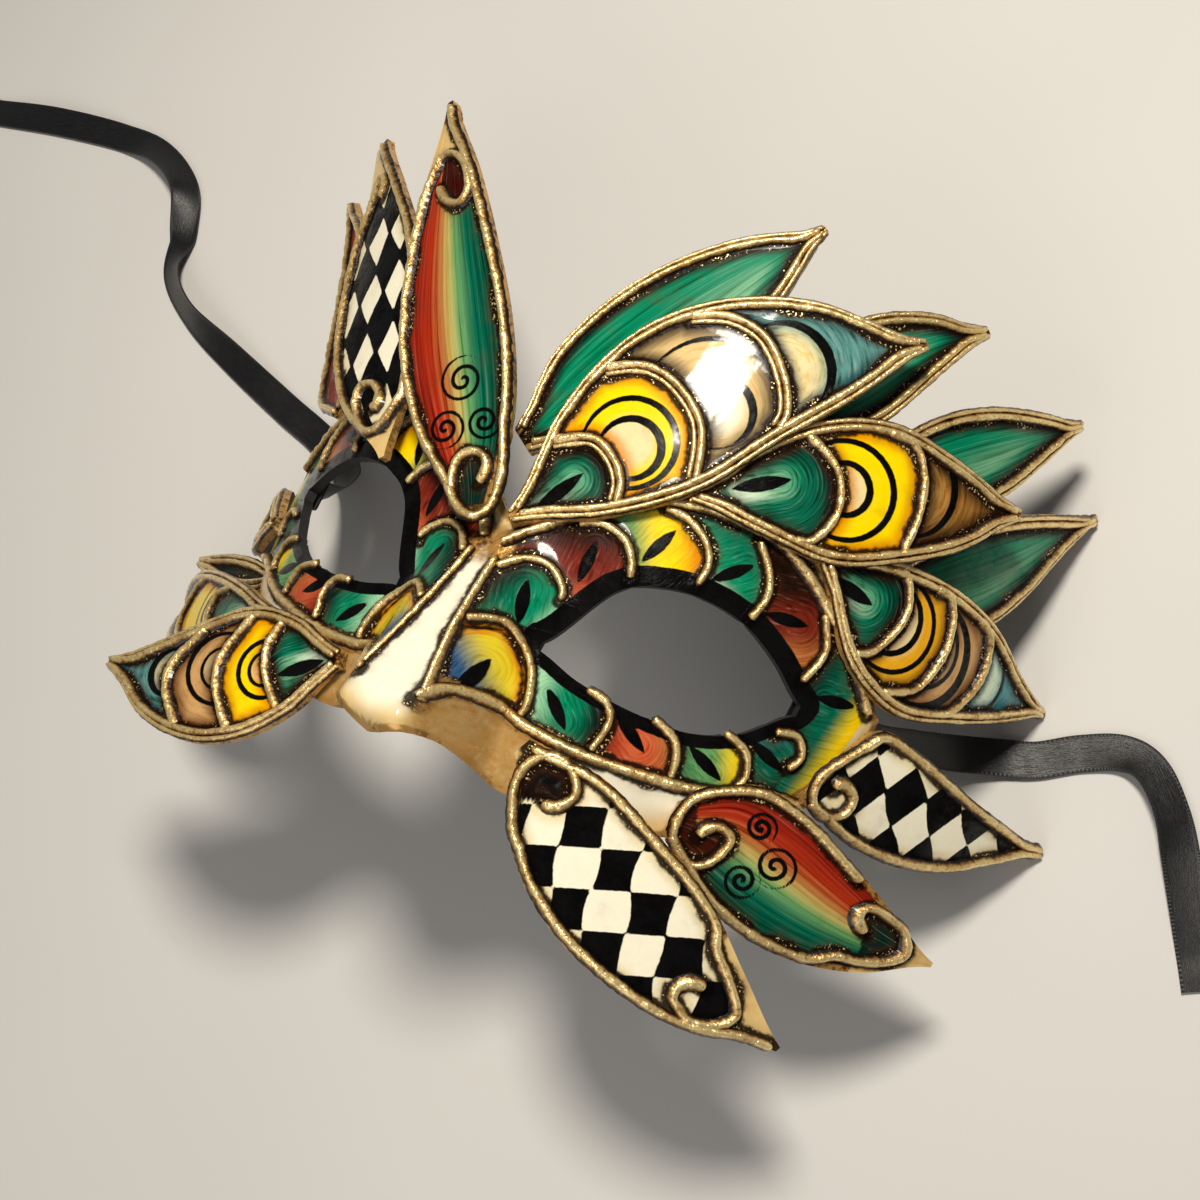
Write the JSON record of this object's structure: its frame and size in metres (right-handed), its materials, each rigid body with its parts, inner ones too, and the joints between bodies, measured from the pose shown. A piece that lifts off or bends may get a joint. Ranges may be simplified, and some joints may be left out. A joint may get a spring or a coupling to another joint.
{
  "type": "carnival bird mask",
  "caption": "Papier-mache half mask with a ridged nose, open eyes, painted checker and feather leaves fanning off brow and cheeks, raised gold cords and tie ribbons.",
  "frame": {"origin": "middle of the mask's outline, ribbons left out, on the table it lies on", "axes": "+X to the right of one who looks at the face, +Y towards the forehead, +Z out of the face and up from the table"},
  "size_m": [0.3679, 0.137, 0.0827],
  "materials": {
    "shell": "papier-mache painted in cream and gold, antiqued and varnished",
    "gold": "raised paste cord with gold paint, antiqued and varnished",
    "green": "green, yellow and blue scale painting, varnished",
    "emerald": "streaked emerald feather painting, varnished",
    "cream": "cream painting with dark checks and spirals, varnished",
    "red": "red painting, varnished",
    "ribbon": "black satin ribbon"
  },
  "bodies": {
    "root": {"face_shell": "shell", "brow_cord_right": "gold", "brow_cord_left": "gold", "cheek_cord_right": "gold", "cheek_cord_left": "gold", "wing_upper": "green", "wing_upper_cord": "gold", "wing_middle": "green", "wing_middle_cord": "gold", "wing_lower": "green", "wing_lower_cord": "gold", "feather_first": "emerald", "feather_first_cord": "gold", "feather_second": "emerald", "feather_second_cord": "gold", "feather_third": "emerald", "feather_third_cord": "gold", "feather_fourth": "emerald", "feather_fourth_cord": "gold", "cheek_checker_leaf": "cream", "cheek_checker_leaf_cord": "gold", "cheek_shaded_leaf": "cream", "cheek_shaded_leaf_cord": "gold", "temple_checker_leaf": "cream", "temple_checker_leaf_cord": "gold", "crest_shaded_leaf": "cream", "crest_shaded_leaf_cord": "gold", "crest_checker_leaf": "cream", "crest_checker_leaf_cord": "gold", "crest_outer_leaf": "red", "crest_outer_leaf_cord": "gold", "low_wing_front": "green", "low_wing_front_cord": "gold", "low_wing_middle": "green", "low_wing_middle_cord": "gold", "low_wing_rear": "green", "low_wing_rear_cord": "gold", "low_feather": "emerald", "low_feather_cord": "gold", "ribbon_right": "ribbon", "ribbon_left": "ribbon"}
  },
  "joints": []
}
